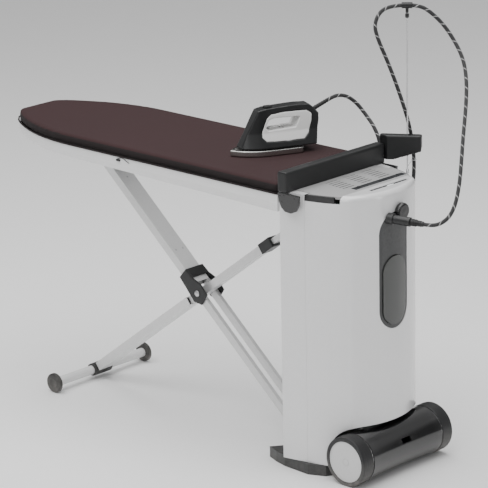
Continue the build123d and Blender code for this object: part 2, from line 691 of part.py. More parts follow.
save("iron_dial", place_iron * (Pos(dial_u, 0, dial_z) * Cylinder(dial_radius, 14)))
button = block(button_u0, button_u1, -button_half, button_half, 124.5, 135)
save("steam_button", place_iron * fillet(button.edges().filter_by(Axis.Z), 4))
save("iron_cord_relief", place_iron * relief)


def at_relief(distance):
    """A point on the line of the iron's cord relief, past its end."""
    run = math.dist(relief_start, relief_end)
    along_u, up = [(e - s) / run for s, e in zip(relief_start, relief_end)]
    reach = relief_end[0] + along_u * distance
    turn = math.radians(iron_turn_deg)
    return (
        iron_tail[0] + reach * math.cos(turn),
        iron_tail[1] + reach * math.sin(turn),
        iron_lift_z + relief_end[1] + up * distance,
    )


# ---------------------------------------------------------------- steam hose
hose_iron_points = [
    at_relief(0.02), at_relief(22), (-166.5, 232.5, 973), (-155, 253, 965), (-138, 272, 943),
    (-109, 278, 911), (-73, 268, 888), (-46, 260, 854), (-40, 260, 808), (-55, 262.6, 757), (-58, 262.6, 700),
]
hose_station_points = [
    (-58, 262.6, 700), (-60, 262.6, 662), (-61, 265, 612), (-27.5, 268, 578.5), (19.5, 270, 578.5),
    (53, 272, 612), (56, 274, 662), (61, 275, 714), (67, 277, 762), (66, 280, 810), (63, 277, 858),
    (61, 267, 908), (60, 249, 958), (57, 229, 1010), (52, 209, 1062), (45, 188, 1115), (38, 163, 1169),
    (21, 161, 1215), (22, 189, 1252), (44, 224, 1263), (96, 268, 1263), (122, 289, 1242),
    (151, 309, 1207), (185, 316, 1163), (222, 306, 1122), (252, 283, 1081), (279, 251, 1035),
    (304, 214, 987), (328, 176, 938), (353, 139, 888), (375, 105, 838), (388, 73, 788),
    (388.5, 46.8, 756.5), (375, 27, 738.5), at_plug(plug_length + 25), at_plug(plug_length),
]


def hose(points):
    """A round hose along straight runs joined by tangent arcs."""
    runs = [Vector(*b) - Vector(*a) for a, b in zip(points, points[1:])]
    radii = []
    for before, after in zip(runs, runs[1:]):
        turn = math.radians(before.get_angle(after))
        radii.append(0.45 * min(before.length, after.length) / math.tan(turn / 2))
    path = FilletPolyline(*points, radius=radii)
    tube = sweep(Plane(origin=path @ 0, z_dir=path % 0) * Circle(hose_radius), path=path)
    print("hose radii", [round(r) for r in radii])
    print("volume over section times length", tube.volume / (math.pi * hose_radius**2 * path.length), path.length)
    return tube


save("hose_iron_run", hose(hose_iron_points))
save("hose_station_run", hose(hose_station_points))
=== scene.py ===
import bpy
import bmesh
import json
import math
from mathutils import Matrix, Vector


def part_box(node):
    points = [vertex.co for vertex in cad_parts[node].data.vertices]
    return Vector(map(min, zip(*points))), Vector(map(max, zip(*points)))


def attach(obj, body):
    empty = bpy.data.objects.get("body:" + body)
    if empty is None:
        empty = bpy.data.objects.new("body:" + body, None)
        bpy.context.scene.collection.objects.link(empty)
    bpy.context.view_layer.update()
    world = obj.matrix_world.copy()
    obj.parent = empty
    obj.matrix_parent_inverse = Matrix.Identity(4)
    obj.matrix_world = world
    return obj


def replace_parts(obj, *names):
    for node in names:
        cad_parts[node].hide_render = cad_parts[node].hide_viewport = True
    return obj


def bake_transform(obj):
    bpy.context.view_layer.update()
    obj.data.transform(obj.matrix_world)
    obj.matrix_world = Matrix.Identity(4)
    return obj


# A steam ironing system: board on scissor legs, steam station on wheels, iron, hose and mast.
# Metres, in the model's own frame: +X to the station's front, +Y to the hose side, +Z up.
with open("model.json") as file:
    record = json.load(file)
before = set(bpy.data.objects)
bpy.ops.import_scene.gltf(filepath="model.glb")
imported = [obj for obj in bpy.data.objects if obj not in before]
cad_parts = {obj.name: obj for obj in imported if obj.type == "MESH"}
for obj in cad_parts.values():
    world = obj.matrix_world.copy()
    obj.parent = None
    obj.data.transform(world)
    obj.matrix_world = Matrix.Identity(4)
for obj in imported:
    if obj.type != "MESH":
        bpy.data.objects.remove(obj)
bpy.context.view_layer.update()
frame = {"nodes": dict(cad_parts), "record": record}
NODES = frame["nodes"]
MM = 0.001
AXIS_X, AXIS_Y, AXIS_Z = (1, 0, 0), (0, 1, 0), (0, 0, 1)


# ------------------------------------------------------------------ shader groups
def shader_group(name, inputs, outputs):
    """An empty node group with named sockets; inputs are (label, kind, default)."""
    tree = bpy.data.node_groups.new(name, "ShaderNodeTree")
    for label, kind, default in inputs:
        socket = tree.interface.new_socket(label, in_out="INPUT", socket_type=kind)
        socket.default_value = default
    for label, kind in outputs:
        tree.interface.new_socket(label, in_out="OUTPUT", socket_type=kind)
    return tree, tree.nodes.new("NodeGroupInput"), tree.nodes.new("NodeGroupOutput")


def add_node(tree, kind, **settings):
    node = tree.nodes.new(kind)
    for key, value in settings.items():
        setattr(node, key, value)
    return node


def math_node(tree, operation, a, b=None):
    node = add_node(tree, "ShaderNodeMath", operation=operation)
    for socket, value in zip(node.inputs, (a, b)):
        if isinstance(value, (int, float)):
            socket.default_value = value
        elif value is not None:
            tree.links.new(value, socket)
    return node.outputs[0]


def noise(tree, vector, scale, detail=3.0):
    node = add_node(tree, "ShaderNodeTexNoise")
    tree.links.new(vector, node.inputs["Vector"])
    if isinstance(scale, (int, float)):
        node.inputs["Scale"].default_value = scale
    else:
        tree.links.new(scale, node.inputs["Scale"])
    node.inputs["Detail"].default_value = detail
    return node.outputs["Fac"]


def grain_group():
    """Fine moulded grain: a height, and a roughness that drifts a little."""
    tree, given, out = shader_group(
        "surface_grain",
        [("Scale", "NodeSocketFloat", 900.0), ("Roughness", "NodeSocketFloat", 0.4),
         ("Spread", "NodeSocketFloat", 0.1)],
        [("Height", "NodeSocketFloat"), ("Roughness", "NodeSocketFloat")],
    )
    place = add_node(tree, "ShaderNodeTexCoord").outputs["Object"]
    tree.links.new(noise(tree, place, given.outputs["Scale"]), out.inputs["Height"])
    drift = math_node(tree, "SUBTRACT", noise(tree, place, 14.0), 0.5)
    drift = math_node(tree, "MULTIPLY", drift, given.outputs["Spread"])
    tree.links.new(math_node(tree, "ADD", given.outputs["Roughness"], drift), out.inputs["Roughness"])
    return tree


def drift_group():
    """A colour that wanders slightly lighter and darker, with dust gathered near the floor."""
    tree, given, out = shader_group(
        "tone_drift",
        [("Color", "NodeSocketColor", (0.5, 0.5, 0.5, 1)),
         ("Dust", "NodeSocketColor", (0.4, 0.38, 0.35, 1)), ("Depth", "NodeSocketFloat", 0.08),
         ("Scale", "NodeSocketFloat", 9.0),
         ("Dust Amount", "NodeSocketFloat", 0.1)],
        [("Color", "NodeSocketColor")],
    )
    place = add_node(tree, "ShaderNodeTexCoord").outputs["Object"]
    value = math_node(tree, "SUBTRACT", noise(tree, place, given.outputs["Scale"]), 0.5)
    value = math_node(tree, "MULTIPLY", value, given.outputs["Depth"])
    value = math_node(tree, "ADD", value, 1.0)
    shade = add_node(tree, "ShaderNodeHueSaturation")
    tree.links.new(value, shade.inputs["Value"])
    tree.links.new(given.outputs["Color"], shade.inputs["Color"])
    split = add_node(tree, "ShaderNodeSeparateXYZ")
    tree.links.new(place, split.inputs[0])
    low = add_node(tree, "ShaderNodeMapRange")
    low.inputs["From Min"].default_value = 0.09
    low.inputs["From Max"].default_value = 0.0
    tree.links.new(split.outputs["Z"], low.inputs["Value"])
    patchy = math_node(tree, "MULTIPLY", low.outputs[0], noise(tree, place, 60.0))
    patchy = math_node(tree, "MULTIPLY", patchy, given.outputs["Dust Amount"])
    mix = add_node(tree, "ShaderNodeMix", data_type="RGBA")
    tree.links.new(patchy, mix.inputs["Factor"])
    tree.links.new(shade.outputs[0], mix.inputs["A"])
    tree.links.new(given.outputs["Dust"], mix.inputs["B"])
    tree.links.new(mix.outputs["Result"], out.inputs["Color"])
    return tree


def wear_group():
    """Paler rubbed edges, broken up by noise."""
    tree, given, out = shader_group(
        "rubbed_edges",
        [("Color", "NodeSocketColor", (0.5, 0.5, 0.5, 1)), ("Worn", "NodeSocketColor", (0.7, 0.7, 0.7, 1)),
         ("Amount", "NodeSocketFloat", 0.3)],
        [("Color", "NodeSocketColor")],
    )
    place = add_node(tree, "ShaderNodeTexCoord").outputs["Object"]
    sharp = add_node(tree, "ShaderNodeMapRange")
    sharp.inputs["From Min"].default_value = 0.53
    sharp.inputs["From Max"].default_value = 0.62
    tree.links.new(add_node(tree, "ShaderNodeNewGeometry").outputs["Pointiness"], sharp.inputs["Value"])
    broken = math_node(tree, "MULTIPLY", sharp.outputs[0], noise(tree, place, 120.0))
    mix = add_node(tree, "ShaderNodeMix", data_type="RGBA")
    tree.links.new(math_node(tree, "MULTIPLY", broken, given.outputs["Amount"]), mix.inputs["Factor"])
    tree.links.new(given.outputs["Color"], mix.inputs["A"])
    tree.links.new(given.outputs["Worn"], mix.inputs["B"])
    tree.links.new(mix.outputs["Result"], out.inputs["Color"])
    return tree


def brushed_group():
    """Long fine scratches along one direction: the stretch gives the scale along X, Y and Z."""
    tree, given, out = shader_group(
        "brushed_lines",
        [("Stretch", "NodeSocketVector", (30, 1500, 1500)), ("Roughness", "NodeSocketFloat", 0.3)],
        [("Height", "NodeSocketFloat"), ("Roughness", "NodeSocketFloat")],
    )
    place = add_node(tree, "ShaderNodeTexCoord").outputs["Object"]
    stretched = add_node(tree, "ShaderNodeVectorMath", operation="MULTIPLY")
    tree.links.new(place, stretched.inputs[0])
    tree.links.new(given.outputs["Stretch"], stretched.inputs[1])
    lines = noise(tree, stretched.outputs[0], 1.0, 4.0)
    tree.links.new(lines, out.inputs["Height"])
    drift = math_node(tree, "MULTIPLY", math_node(tree, "SUBTRACT", lines, 0.5), 0.3)
    tree.links.new(math_node(tree, "ADD", given.outputs["Roughness"], drift), out.inputs["Roughness"])
    return tree


def weave_group():
    """Plain weave over the board: threads along X and Y, with thick and thin places."""
    tree, given, out = shader_group(
        "plain_weave",
        [("Threads", "NodeSocketFloat", 3800.0)],
        [("Height", "NodeSocketFloat"), ("Thread", "NodeSocketFloat")],
    )
    place = add_node(tree, "ShaderNodeTexCoord").outputs["Object"]
    split = add_node(tree, "ShaderNodeSeparateXYZ")
    tree.links.new(place, split.inputs[0])
    along = math_node(tree, "MULTIPLY", split.outputs["X"], given.outputs["Threads"])
    across = math_node(tree, "ADD", split.outputs["Y"], split.outputs["Z"])
    across = math_node(tree, "MULTIPLY", across, given.outputs["Threads"])
    knit = math_node(tree, "MULTIPLY", math_node(tree, "SINE", along), math_node(tree, "SINE", across))
    slub = noise(tree, place, 420.0)
    tree.links.new(math_node(tree, "ADD", knit, slub), out.inputs["Height"])
    tree.links.new(slub, out.inputs["Thread"])
    return tree


def braid_group():
    """Crossing strands along a hose, with sparse light flecks; it reads the hose's own U and V."""
    tree, given, out = shader_group(
        "hose_weave",
        [("Turns", "NodeSocketFloat", 10.0), ("Pitch", "NodeSocketFloat", 900.0)],
        [("Height", "NodeSocketFloat"), ("Fleck", "NodeSocketFloat")],
    )
    split = add_node(tree, "ShaderNodeSeparateXYZ")
    tree.links.new(add_node(tree, "ShaderNodeTexCoord").outputs["UV"], split.inputs[0])
    around = math_node(tree, "MULTIPLY", split.outputs["X"], 2 * math.pi)
    wound = math_node(tree, "MULTIPLY", around, given.outputs["Turns"])
    run = math_node(tree, "MULTIPLY", split.outputs["Y"], given.outputs["Pitch"])
    one = math_node(tree, "SINE", math_node(tree, "ADD", wound, run))
    other = math_node(tree, "SINE", math_node(tree, "SUBTRACT", wound, run))
    tree.links.new(math_node(tree, "MULTIPLY", one, other), out.inputs["Height"])
    helix = math_node(tree, "ADD", around, math_node(tree, "MULTIPLY", split.outputs["Y"], 210.0))
    thread = math_node(tree, "GREATER_THAN", math_node(tree, "SINE", helix), 0.86)
    beat = math_node(tree, "SINE", math_node(tree, "MULTIPLY", helix, 5.0))
    dash = math_node(tree, "GREATER_THAN", beat, 0.1)
    tree.links.new(math_node(tree, "MULTIPLY", thread, dash), out.inputs["Fleck"])
    return tree


GRAIN, DRIFT, WEAR = grain_group(), drift_group(), wear_group()
BRUSHED, WEAVE, BRAID = brushed_group(), weave_group(), braid_group()


# ------------------------------------------------------------------ materials
def place_group(tree, group, **values):
    node = add_node(tree, "ShaderNodeGroup", node_tree=group)
    for label, value in values.items():
        node.inputs[label.replace("_", " ")].default_value = value
    return node


def bump(tree, height, shader, strength, distance):
    node = add_node(tree, "ShaderNodeBump")
    node.inputs["Strength"].default_value = strength
    node.inputs["Distance"].default_value = distance
    tree.links.new(height, node.inputs["Height"])
    tree.links.new(node.outputs["Normal"], shader.inputs["Normal"])


def new_material(name):
    material = bpy.data.materials.new(name)
    material.use_nodes = True
    tree = material.node_tree
    return material, tree, tree.nodes["Principled BSDF"]


def rgba(color):
    return (*color, 1.0)


def coloured(tree, shader, color, worn, wear, depth, dust):
    tone = place_group(tree, DRIFT, Color=rgba(color), Depth=depth, Dust_Amount=dust)
    edges = place_group(tree, WEAR, Worn=rgba(worn), Amount=wear)
    tree.links.new(tone.outputs["Color"], edges.inputs["Color"])
    tree.links.new(edges.outputs["Color"], shader.inputs["Base Color"])


def moulded(name, color, roughness, grain=900.0, relief=0.05, coat=0.0, metal=0.0,
            worn=(0.5, 0.5, 0.5), wear=0.25, depth=0.06, dust=0.15):
    """Plastic, rubber or paint: grain, drifting tone, rubbed edges and a little floor dust."""
    material, tree, shader = new_material(name)
    coloured(tree, shader, color, worn, wear, depth, dust)
    skin = place_group(tree, GRAIN, Scale=grain, Roughness=roughness, Spread=0.12)
    tree.links.new(skin.outputs["Roughness"], shader.inputs["Roughness"])
    bump(tree, skin.outputs["Height"], shader, relief, 0.4 * MM)
    shader.inputs["Metallic"].default_value = metal
    shader.inputs["Coat Weight"].default_value = coat
    shader.inputs["Coat Roughness"].default_value = 0.08
    return material


def brushed(name, color, roughness, stretch, worn=(0.9, 0.9, 0.9), relief=0.12):
    material, tree, shader = new_material(name)
    coloured(tree, shader, color, worn, 0.2, 0.08, 0.0)
    lines = place_group(tree, BRUSHED, Stretch=stretch, Roughness=roughness)
    tree.links.new(lines.outputs["Roughness"], shader.inputs["Roughness"])
    bump(tree, lines.outputs["Height"], shader, relief, 0.2 * MM)
    shader.inputs["Metallic"].default_value = 1.0
    return material


def cover_cloth(name, dark, light, sheen):
    """Dyed cotton: two close thread colours, woven relief and a soft sheen."""
    material, tree, shader = new_material(name)
    woven = place_group(tree, WEAVE, Threads=3800.0)
    mix = add_node(tree, "ShaderNodeMix", data_type="RGBA")
    mix.inputs["A"].default_value = rgba(dark)
    mix.inputs["B"].default_value = rgba(light)
    tree.links.new(woven.outputs["Thread"], mix.inputs["Factor"])
    tone = place_group(tree, DRIFT, Depth=0.25, Scale=3.0, Dust_Amount=0.0)
    tree.links.new(mix.outputs["Result"], tone.inputs["Color"])
    tree.links.new(tone.outputs["Color"], shader.inputs["Base Color"])
    bump(tree, woven.outputs["Height"], shader, 0.35, 0.25 * MM)
    shader.inputs["Roughness"].default_value = 0.86
    shader.inputs["Sheen Weight"].default_value = sheen
    shader.inputs["Sheen Roughness"].default_value = 0.45
    shader.inputs["Sheen Tint"].default_value = (0.9, 0.62, 0.62, 1)
    return material


def braided(name):
    material, tree, shader = new_material(name)
    strands = place_group(tree, BRAID, Turns=10.0, Pitch=900.0)
    mix = add_node(tree, "ShaderNodeMix", data_type="RGBA")
    mix.inputs["A"].default_value = (0.012, 0.012, 0.013, 1)
    mix.inputs["B"].default_value = (0.42, 0.42, 0.42, 1)
    tree.links.new(strands.outputs["Fleck"], mix.inputs["Factor"])
    tree.links.new(mix.outputs["Result"], shader.inputs["Base Color"])
    bump(tree, strands.outputs["Height"], shader, 0.5, 0.4 * MM)
    shader.inputs["Roughness"].default_value = 0.62
    shader.inputs["Sheen Weight"].default_value = 0.25
    return material


def smoked_clear(name, color, transmission):
    material, tree, shader = new_material(name)
    tone = place_group(tree, DRIFT, Color=rgba(color), Depth=0.05, Dust_Amount=0.0)
    tree.links.new(tone.outputs["Color"], shader.inputs["Base Color"])
    skin = place_group(tree, GRAIN, Scale=300.0, Roughness=0.07, Spread=0.05)
    tree.links.new(skin.outputs["Roughness"], shader.inputs["Roughness"])
    shader.inputs["Transmission Weight"].default_value = transmission
    shader.inputs["IOR"].default_value = 1.46
    shader.inputs["Coat Weight"].default_value = 0.5
    return material


def glowing(name, color, strength):
    material, tree, shader = new_material(name)
    tone = place_group(tree, DRIFT, Color=rgba(color), Depth=0.1, Dust_Amount=0.0)
    tree.links.new(tone.outputs["Color"], shader.inputs["Base Color"])
    tree.links.new(tone.outputs["Color"], shader.inputs["Emission Color"])
    shader.inputs["Emission Strength"].default_value = strength
    return material


GREY_WEAR, BLACK_WEAR = (0.92, 0.92, 0.92), (0.12, 0.12, 0.12)
ALONG_Y, ALONG_Z = (2200, 40, 2200), (2200, 2200, 40)
FINISHES = [
    moulded("black_plastic", (0.007, 0.0075, 0.008), 0.4, 1300, 0.10, worn=BLACK_WEAR),
    moulded("gloss_black", (0.006, 0.006, 0.0065), 0.2, 400, 0.02, coat=0.6, worn=BLACK_WEAR),
    brushed("pin_steel", (0.55, 0.55, 0.56), 0.32, ALONG_Y),
    moulded("white_shell", (0.74, 0.74, 0.745), 0.22, 60, 0.01, coat=0.9, worn=GREY_WEAR),
    moulded("guide_plastic", (0.09, 0.09, 0.095), 0.5, 1200, 0.1, worn=(0.3, 0.3, 0.3)),
    moulded("dark_display", (0.030, 0.032, 0.036), 0.13, 300, 0.01, coat=0.8, worn=BLACK_WEAR),
    moulded("grey_panel", (0.30, 0.30, 0.30), 0.48, 1500, 0.1, worn=(0.6, 0.6, 0.6)),
    moulded("charcoal_panel", (0.026, 0.027, 0.028), 0.34, 1400, 0.06, worn=(0.2, 0.2, 0.2)),
    brushed("boiler_steel", (0.60, 0.60, 0.60), 0.3, ALONG_Z),
    brushed("brass_fitting", (0.72, 0.53, 0.25), 0.3, ALONG_Z),
    moulded("circuit_board", (0.02, 0.12, 0.05), 0.4, 700, 0.1),
    brushed("bright_steel", (0.74, 0.74, 0.75), 0.18, ALONG_Z, relief=0.03),
    braided("hose_braid"),
    moulded("white_tray", (0.78, 0.78, 0.78), 0.36, 800, 0.06, coat=0.2, worn=GREY_WEAR),
    cover_cloth("cover_fabric", (0.012, 0.0016, 0.0022), (0.030, 0.0045, 0.0060), 0.0),
    # A darker copy of the cover cloth: painted shade for the cover's sides and its hem.
    cover_cloth("cover_side_shade", (0.004, 0.0015, 0.0015), (0.008, 0.0025, 0.003), 0.0),
    brushed("sole_steel", (0.50, 0.50, 0.48), 0.3, (900, 900, 1800)),
    moulded("iron_black", (0.006, 0.0065, 0.007), 0.36, 1500, 0.1, coat=0.1, worn=BLACK_WEAR),
    moulded("iron_white", (0.80, 0.80, 0.79), 0.22, 500, 0.02, coat=0.5, worn=GREY_WEAR),
    moulded("rubber_black", (0.008, 0.008, 0.0085), 0.6, 1600, 0.2, worn=BLACK_WEAR, dust=0.5),
    moulded("white_leg", (0.70, 0.70, 0.70), 0.34, 700, 0.05, coat=0.15, worn=GREY_WEAR),
    moulded("silver_leg", (0.62, 0.62, 0.62), 0.34, 1500, 0.05, metal=0.35, worn=GREY_WEAR),
    smoked_clear("tank_tint", (0.10, 0.105, 0.10), 0.6),
    moulded("tyre_black", (0.010, 0.010, 0.011), 0.46, 1100, 0.12, worn=BLACK_WEAR, dust=0.5),
    moulded("disc_grey", (0.60, 0.60, 0.60), 0.38, 1200, 0.05, worn=GREY_WEAR),
]
# The frame already holds materials of these names, so the new ones carry a number after a dot.
FINISH = {material.name.split(".")[0]: material for material in FINISHES}
WATER = smoked_clear("tank_water", (0.16, 0.18, 0.18), 0.6)
LAMP = glowing("lamp_glow", (0.85, 0.88, 0.9), 0.6)
FLOOR = moulded("pale_floor", (0.93, 0.93, 0.93), 0.6, 30, 0.01, wear=0.0, depth=0.01, dust=0.0)


def coat_cad_nodes():
    for part in frame["record"]["subparts"]:
        mesh = NODES[part["node"]].data
        mesh.materials.clear()
        mesh.materials.append(FINISH[part["material_slot"]])


# ------------------------------------------------------------------ mesh helpers
def add_piece(name, mesh, body, slot, smooth=True, material=None):
    piece = bpy.data.objects.new(name, mesh)
    bpy.context.scene.collection.objects.link(piece)
    mesh.materials.clear()
    mesh.materials.append(material or FINISH[slot])
    mesh.polygons.foreach_set("use_smooth", [smooth] * len(mesh.polygons))
    if body:
        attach(piece, body)
    return piece


def mesh_of(name, points, faces):
    mesh = bpy.data.meshes.new(name)
    mesh.from_pydata([tuple(p) for p in points], [], faces)
    mesh.update()
    return mesh


def frames_along(points):
    """Two cross directions at each point of a line, turned as little as possible on the way."""
    points = [Vector(p) for p in points]
    tangents = []
    for i in range(len(points)):
        tangents.append((points[min(i + 1, len(points) - 1)] - points[max(i - 1, 0)]).normalized())
    side = tangents[0].orthogonal().normalized()
    frames = []
    for tangent in tangents:
        side = (side - tangent * side.dot(tangent)).normalized()
        frames.append((side, tangent.cross(side)))
    return frames


def tube_mesh(name, points, radii, sides=16, closed=False):
    """A round tube along a line; U goes once round it, V is the distance along it."""
    points = [Vector(p) for p in points]
    if closed:
        points = points + [points[0]]
    radii = radii if isinstance(radii, (list, tuple)) else [radii] * len(points)
    frames = frames_along(points)
    run, runs = 0.0, [0.0]
    for a, b in zip(points, points[1:]):
        run += (b - a).length
        runs.append(run)
    verts, faces = [], []
    for point, radius, (side, over) in zip(points, radii, frames):
        for k in range(sides):
            angle = 2 * math.pi * k / sides
            verts.append(point + (side * math.cos(angle) + over * math.sin(angle)) * radius)
    for i in range(len(points) - 1):
        for k in range(sides):
            after = (k + 1) % sides
            faces.append((i * sides + k, i * sides + after, (i + 1) * sides + after, (i + 1) * sides + k))
    quads = len(faces)
    last = (len(points) - 1) * sides
    faces.append(tuple(range(sides - 1, -1, -1)))
    faces.append(tuple(range(last, last + sides)))
    mesh = mesh_of(name, verts, faces)
    layer = mesh.uv_layers.new(name="UVMap")
    for index in range(quads):
        i, k = divmod(index, sides)
        corners = ((k, i), (k + 1, i), (k + 1, i + 1), (k, i + 1))
        for loop, (u, v) in zip(mesh.polygons[index].loop_indices, corners):
            layer.data[loop].uv = (u / sides, runs[v])
    return mesh


def turned_mesh(name, start, axis, profile, sides=48, flute=0.0, flutes=0):
    """A profile of (distance, radius) turned about an axis, with flutes round it where asked."""
    axis = Vector(axis).normalized()
    side = axis.orthogonal().normalized()
    over = axis.cross(side)
    verts, faces = [], []
    for distance, radius in profile:
        for k in range(sides):
            angle = 2 * math.pi * k / sides
            reach = radius - flute * (0.5 + 0.5 * math.cos(flutes * angle)) * (radius > 0)
            outward = side * math.cos(angle) + over * math.sin(angle)
            verts.append(Vector(start) + axis * distance + outward * reach)
    for i in range(len(profile) - 1):
        for k in range(sides):
            after = (k + 1) % sides
            faces.append((i * sides + k, i * sides + after, (i + 1) * sides + after, (i + 1) * sides + k))
    last = (len(profile) - 1) * sides
    faces.append(tuple(range(sides - 1, -1, -1)))
    faces.append(tuple(range(last, last + sides)))
    return mesh_of(name, verts, faces)


def apply_modifiers(piece):
    bpy.context.view_layer.update()
    graph = bpy.context.evaluated_depsgraph_get()
    mesh = bpy.data.meshes.new_from_object(piece.evaluated_get(graph))
    old = piece.data
    piece.modifiers.clear()
    piece.data = mesh
    bpy.data.meshes.remove(old)


def soften(node, body, slot, voxel, rounds):
    """A rounded copy of a CAD node stands for it: its sharp edges become moulded ones."""
    piece = add_piece(f"{node}_moulding", NODES[node].data.copy(), None, slot)
    remesh = piece.modifiers.new("remesh", "REMESH")
    remesh.mode = "VOXEL"
    remesh.voxel_size = voxel
    smooth = piece.modifiers.new("smooth", "SMOOTH")
    smooth.factor = 0.5
    smooth.iterations = rounds
    apply_modifiers(piece)
    piece.data.polygons.foreach_set("use_smooth", [True] * len(piece.data.polygons))
    piece.data.materials.clear()
    piece.data.materials.append(FINISH[slot])
    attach(piece, body)
    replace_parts(piece, node)
    return piece


def dome(name, centre, normal, radius, height, body, slot):
    """A low round stud, rivet head or foot button on a surface."""
    steps = 5
    profile = []
    for i in range(steps + 1):
        angle = math.pi / 2 * i / steps
        profile.append((height * math.sin(angle), max(radius * math.cos(angle), radius * 0.04)))
    return add_piece(name, turned_mesh(name, centre, normal, profile, 24), body, slot)


def circle(centre, side, over, radius, count):
    """Points round a circle, started on the side direction."""
    turns = [2 * math.pi * k / count for k in range(count)]
    centre, side, over = Vector(centre), Vector(side), Vector(over)
    return [centre + (side * math.cos(a) + over * math.sin(a)) * radius for a in turns]


def add_ring(name, points, thickness, body, slot, sides=8):
    """A thin closed ring along the points."""
    return add_piece(name, tube_mesh(name, points, thickness, sides, closed=True), body, slot)


# ------------------------------------------------------------------ camera and light
def look_camera():
    yaw, pitch, roll = (math.radians(v) for v in (43.78, 16.89, -1.16))
    forward = Vector((-math.sin(yaw) * math.cos(pitch), math.cos(yaw) * math.cos(pitch), -math.sin(pitch)))
    right = Vector((math.cos(yaw), math.sin(yaw), 0))
    up = right.cross(forward)
    level = right * math.cos(roll) + up * math.sin(roll)
    upright = up * math.cos(roll) - right * math.sin(roll)
    data = bpy.data.cameras.new("camera")
    data.lens, data.sensor_width = 207.5, 36.0
    data.clip_end = 60
    camera = bpy.data.objects.new("camera", data)
    bpy.context.scene.collection.objects.link(camera)
    turn = Matrix((level, upright, -forward)).transposed().to_4x4()
    camera.matrix_world = Matrix.Translation((5.031, -5.604, 2.905)) @ turn
    bpy.context.scene.camera = camera


def soft_light(name, place, target, size, power):
    data = bpy.data.lights.new(name, "AREA")
    data.shape = "RECTANGLE"
    data.size, data.size_y = size
    data.energy = power
    light = bpy.data.objects.new(name, data)
    bpy.context.scene.collection.objects.link(light)
    light.location = place
    light.rotation_euler = (Vector(target) - Vector(place)).to_track_quat("-Z", "Y").to_euler()


def studio():
    floor = mesh_of("floor", [(-9, -9, 0), (9, -9, 0), (9, 9, 0), (-9, 9, 0)], [(0, 1, 2, 3)])
    add_floor(floor)
    world = bpy.data.worlds.new("studio")
    world.use_nodes = True
    tree = world.node_tree
    sky = tree.nodes["Background"]
    place = add_node(tree, "ShaderNodeTexCoord").outputs["Generated"]
    split = add_node(tree, "ShaderNodeSeparateXYZ")
    tree.links.new(place, split.inputs[0])
    bearing = math_node(tree, "ARCTAN2", split.outputs["Y"], split.outputs["X"])
    panels = math_node(tree, "SINE", math_node(tree, "MULTIPLY", bearing, 7.0))
    bands = add_node(tree, "ShaderNodeMapRange", interpolation_type="SMOOTHSTEP")
    bands.inputs["From Min"].default_value = -0.5
    bands.inputs["From Max"].default_value = 0.6
    bands.inputs["To Min"].default_value = 0.22
    tree.links.new(panels, bands.inputs["Value"])
    overhead = add_node(tree, "ShaderNodeMapRange", interpolation_type="SMOOTHSTEP")
    overhead.inputs["From Min"].default_value = 0.3
    overhead.inputs["From Max"].default_value = 0.8
    tree.links.new(split.outputs["Z"], overhead.inputs["Value"])
    tree.links.new(math_node(tree, "MAXIMUM", bands.outputs[0], overhead.outputs[0]), sky.inputs["Color"])
    sky.inputs["Strength"].default_value = 0.6
    bpy.context.scene.world = world
    soft_light("overhead", (-0.6, -0.6, 4.2), (-0.4, 0, 0), (5.0, 5.0), 260)
    soft_light("key", (1.2, -3.4, 2.2), (0.0, 0, 0.5), (0.9, 2.2), 16)
    soft_light("side_strip", (3.4, 1.2, 1.4), (0.1, 0, 0.5), (0.4, 2.2), 14)


def add_floor(mesh):
    floor = bpy.data.objects.new("floor", mesh)
    bpy.context.scene.collection.objects.link(floor)
    mesh.materials.append(FLOOR)
    return floor


# ------------------------------------------------------------------ steam hose
HOSE_RADIUS = 0.0055
HOSE_IRON = [
    (-0.18625, 0.19436, 0.96161), (-0.17774, 0.21243, 0.97079), (-0.1665, 0.2325, 0.973),
    (-0.155, 0.253, 0.965), (-0.138, 0.272, 0.943), (-0.109, 0.278, 0.911), (-0.073, 0.268, 0.888),
    (-0.046, 0.260, 0.854), (-0.040, 0.260, 0.808), (-0.055, 0.2626, 0.757), (-0.058, 0.2626, 0.700),
]
HOSE_STATION = [
    (-0.058, 0.2626, 0.700), (-0.060, 0.2626, 0.662), (-0.061, 0.265, 0.612), (-0.0275, 0.268, 0.5785),
    (0.0195, 0.270, 0.5785), (0.053, 0.272, 0.612), (0.056, 0.274, 0.662), (0.061, 0.275, 0.714),
    (0.067, 0.277, 0.762), (0.066, 0.280, 0.810), (0.063, 0.277, 0.858), (0.061, 0.267, 0.908),
    (0.060, 0.249, 0.958), (0.057, 0.229, 1.010), (0.052, 0.209, 1.062), (0.045, 0.188, 1.115),
    (0.038, 0.163, 1.169), (0.021, 0.161, 1.215), (0.022, 0.189, 1.252), (0.044, 0.224, 1.263),
    (0.096, 0.268, 1.263), (0.122, 0.289, 1.242), (0.151, 0.309, 1.207), (0.185, 0.316, 1.163),
    (0.222, 0.306, 1.122), (0.252, 0.283, 1.081), (0.279, 0.251, 1.035), (0.304, 0.214, 0.987),
    (0.328, 0.176, 0.938), (0.353, 0.139, 0.888), (0.375, 0.105, 0.838), (0.388, 0.073, 0.788),
    (0.3885, 0.0468, 0.7565), (0.375, 0.027, 0.7385), (0.35374, 0.01272, 0.73157),
    (0.32983, 0.00555, 0.73290),
]


def route(name, points):
    """The smooth line of a hose through its route's control points."""
    curve = bpy.data.curves.new(name, "CURVE")
    curve.dimensions = "3D"
    curve.resolution_u = 10
    spline = curve.splines.new("NURBS")
    spline.points.add(len(points) - 1)
    for slot, point in zip(spline.points, points):
        slot.co = (*point, 1.0)
    spline.order_u = 3
    spline.use_endpoint_u = True
    guide = bpy.data.objects.new(name, curve)
    bpy.context.scene.collection.objects.link(guide)
    bpy.context.view_layer.update()
    graph = bpy.context.evaluated_depsgraph_get()
    line = bpy.data.meshes.new_from_object(guide.evaluated_get(graph))
    path = [v.co.copy() for v in line.vertices]
    bpy.data.objects.remove(guide)
    bpy.data.meshes.remove(line)
    return path


